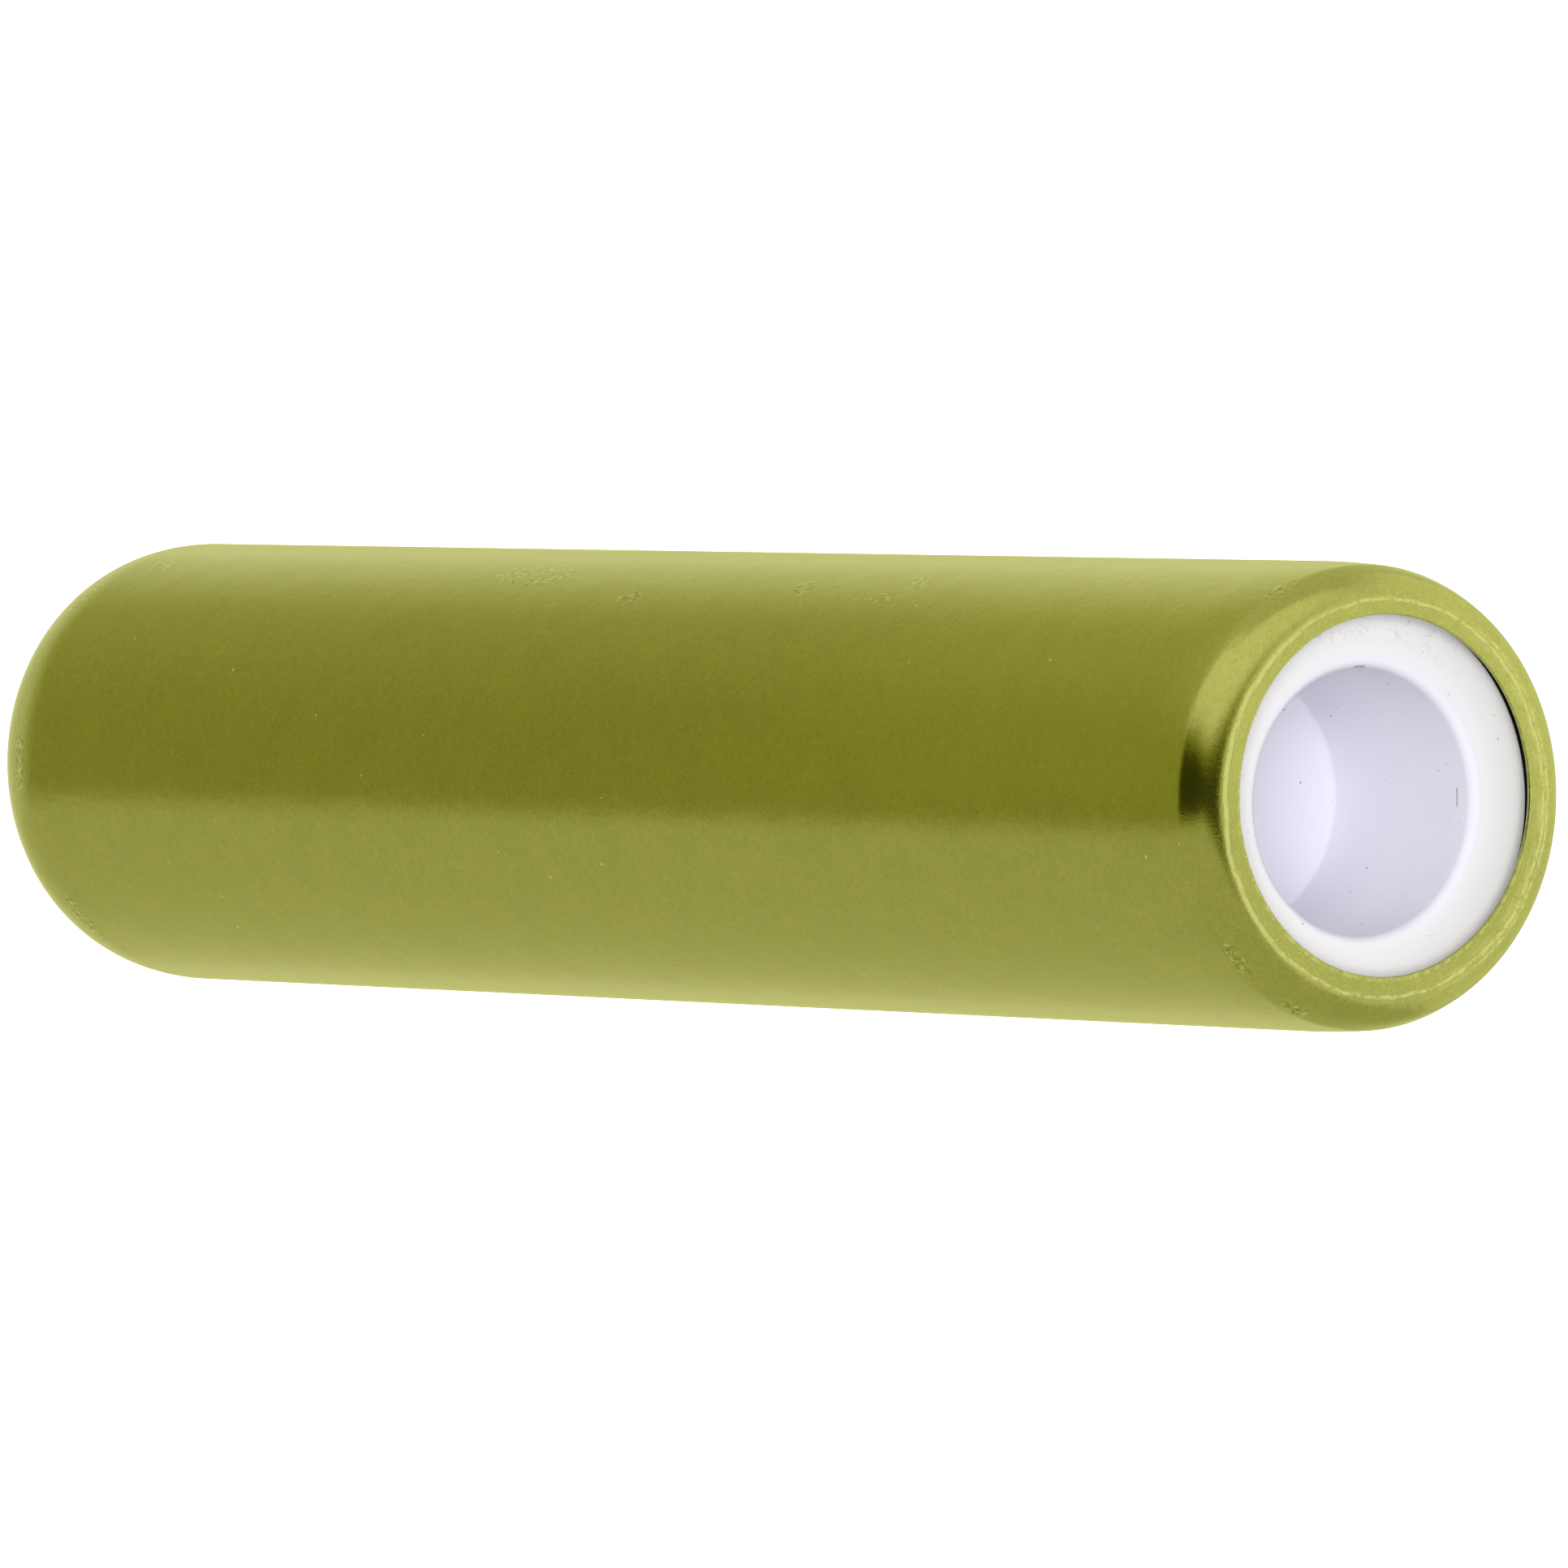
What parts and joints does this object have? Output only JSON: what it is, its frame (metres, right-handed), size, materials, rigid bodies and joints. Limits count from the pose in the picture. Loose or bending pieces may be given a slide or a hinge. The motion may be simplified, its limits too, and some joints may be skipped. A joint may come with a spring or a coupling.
{
  "type": "cylindrical battery cell",
  "caption": "Sealed spiral-wound cylindrical cell: coated steel can with a rolled lip over a recessed white cup whose deep bore holds the positive contact.",
  "frame": {"origin": "centre of the can's closed flat base", "axes": "+Z along the cell's axis from the closed base to the rolled lip and the cup; +X is the radius that the winding starts on"},
  "size_m": [0.014, 0.014, 0.065],
  "materials": {
    "coated_steel": "satin olive-green metallic coating with fine grain",
    "white_plastic": "white moulded plastic, fine satin",
    "black_rubber": "black moulded rubber",
    "nickel": "nickel plate, fine rolling marks",
    "plain_steel": "bright pressed steel",
    "natural_nylon": "unpigmented moulded nylon",
    "insulating_fibre": "brown pressed insulating fibre",
    "wrap_film": "thin amber insulating film",
    "positive_paste": "black pressed electrode paste",
    "negative_paste": "dark grey metal-powder electrode",
    "separator_felt": "white non-woven felt"
  },
  "bodies": {
    "cell_body": {"can": "coated_steel", "insulating_cup": "white_plastic", "seal_ring": "black_rubber", "positive_contact": "nickel", "contact_washer": "plain_steel", "support_sleeve": "natural_nylon", "vent_cage": "plain_steel", "vent_spring": "plain_steel", "cover_plate": "plain_steel", "cover_gasket": "natural_nylon", "spacer_ring": "natural_nylon", "top_insulator": "insulating_fibre", "positive_collector": "nickel", "positive_lead": "nickel", "inner_separator": "separator_felt", "positive_plate": "positive_paste", "outer_separator": "separator_felt", "negative_plate": "negative_paste", "winding_core": "natural_nylon", "winding_wrap": "wrap_film", "negative_collector": "nickel", "negative_lead": "nickel", "bottom_insulator": "insulating_fibre"},
    "relief_valve": {"vent_valve": "plain_steel", "valve_pad": "black_rubber"}
  },
  "joints": [
    {"name": "relief_valve_lift", "type": "slide", "parent": "cell_body", "child": "relief_valve", "axis": [0, 0, 1], "range_m": [0, 0.0004], "stiffness_N_per_m": 9400, "springref_m": -0.0001, "deforming": ["vent_spring"]}
  ]
}
